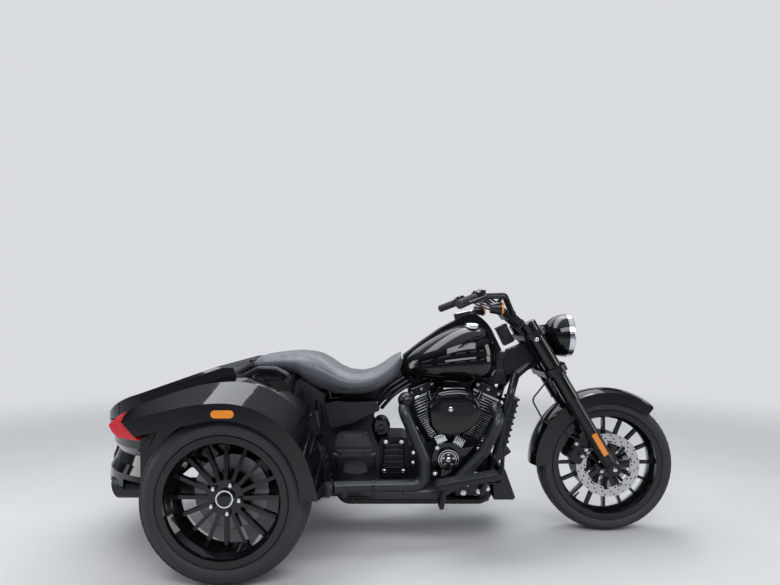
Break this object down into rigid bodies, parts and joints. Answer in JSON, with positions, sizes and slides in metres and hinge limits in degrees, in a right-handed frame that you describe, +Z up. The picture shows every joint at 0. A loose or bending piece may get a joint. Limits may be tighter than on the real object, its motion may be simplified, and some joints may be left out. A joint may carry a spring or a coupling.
{
  "type": "motorized trike",
  "caption": "Black three-wheeled cruiser with a V-twin engine, steered spoked front wheel, two rear wheels under rounded fenders and a lidded trunk between them.",
  "frame": {"origin": "on the floor under the middle of the bounding box", "axes": "+X forward, +Y to the vehicle's left, +Z up"},
  "size_m": [2.6704, 1.3906, 1.1427],
  "materials": {
    "tyre": "satin black rubber tread",
    "gloss_black": "deep gloss black paint",
    "wheel_black": "gloss black powder coat",
    "satin_black": "satin black coat",
    "matte_black": "matte heat-proof black",
    "cast_black": "black wrinkle-finish castings",
    "chrome": "polished chrome",
    "rotor_steel": "brushed steel rotors",
    "rubber": "soft black rubber",
    "vinyl": "matte charcoal vinyl",
    "black_plastic": "textured black plastic",
    "clear_lens": "clear lens",
    "red_lens": "red lens",
    "amber_lens": "amber lens"
  },
  "bodies": {
    "frame": {"frame_cradle": "satin_black", "rear_axle_and_shocks": "satin_black", "engine_cases": "cast_black", "engine_covers": "gloss_black", "cylinders": "cast_black", "rocker_boxes": "gloss_black", "air_cleaner": "gloss_black", "exhaust_pipes": "matte_black", "silencers": "matte_black", "fuel_tank": "gloss_black", "tank_console": "gloss_black", "speedometer": "black_plastic", "seat": "vinyl", "side_covers": "black_plastic", "trunk_body": "gloss_black", "rear_fender_right": "gloss_black", "rear_fender_left": "gloss_black", "tail_lamps": "red_lens", "side_markers": "amber_lens", "plate_holder": "black_plastic", "grab_rails": "satin_black", "floorboards_and_pedal": "black_plastic"},
    "steering": {"fork_sliders": "satin_black", "fork_covers": "gloss_black", "handlebar_and_trees": "satin_black", "grips": "rubber", "switches_and_levers": "satin_black", "front_signals": "satin_black", "signal_lenses": "amber_lens", "headlamp_bucket": "gloss_black", "headlamp_ring": "chrome", "headlamp_lens": "clear_lens", "front_fender": "gloss_black", "front_calipers": "satin_black", "front_brake_hose": "rubber"},
    "front_wheel": {"front_tyre": "tyre", "front_wheel": "wheel_black", "front_discs": "rotor_steel"},
    "rear_wheel_right": {"rear_tyre_right": "tyre", "rear_wheel_right": "wheel_black"},
    "rear_wheel_left": {"rear_tyre_left": "tyre", "rear_wheel_left": "wheel_black"},
    "trunk_lid": {"trunk_lid": "gloss_black"},
    "passenger_board_right": {"passenger_board_right": "black_plastic"},
    "passenger_board_left": {"passenger_board_left": "black_plastic"}
  },
  "joints": [
    {"name": "steering", "type": "hinge", "parent": "frame", "child": "steering", "pos_m": [0.70118, 0, 0.85], "axis": [-0.4384, 0, 0.8988], "range_deg": [-32, 32]},
    {"name": "front_wheel_spin", "type": "hinge", "parent": "steering", "child": "front_wheel", "pos_m": [1.01575, 0, 0.3195], "axis": [0, 1, 0], "continuous": true},
    {"name": "rear_wheel_right_spin", "type": "hinge", "parent": "frame", "child": "rear_wheel_right", "pos_m": [-0.65425, -0.555, 0.325], "axis": [0, 1, 0], "continuous": true},
    {"name": "rear_wheel_left_spin", "type": "hinge", "parent": "frame", "child": "rear_wheel_left", "pos_m": [-0.65425, 0.555, 0.325], "axis": [0, 1, 0], "continuous": true},
    {"name": "trunk_lid_hinge", "type": "hinge", "parent": "frame", "child": "trunk_lid", "pos_m": [-0.68375, 0, 0.815], "axis": [0, 1, 0], "range_deg": [0, 60]},
    {"name": "passenger_board_right_fold", "type": "hinge", "parent": "frame", "child": "passenger_board_right", "pos_m": [-0.17525, -0.309, 0.424], "axis": [1, 0, 0], "range_deg": [0, 85]},
    {"name": "passenger_board_left_fold", "type": "hinge", "parent": "frame", "child": "passenger_board_left", "pos_m": [-0.17525, 0.309, 0.424], "axis": [-1, 0, 0], "range_deg": [0, 85]}
  ]
}
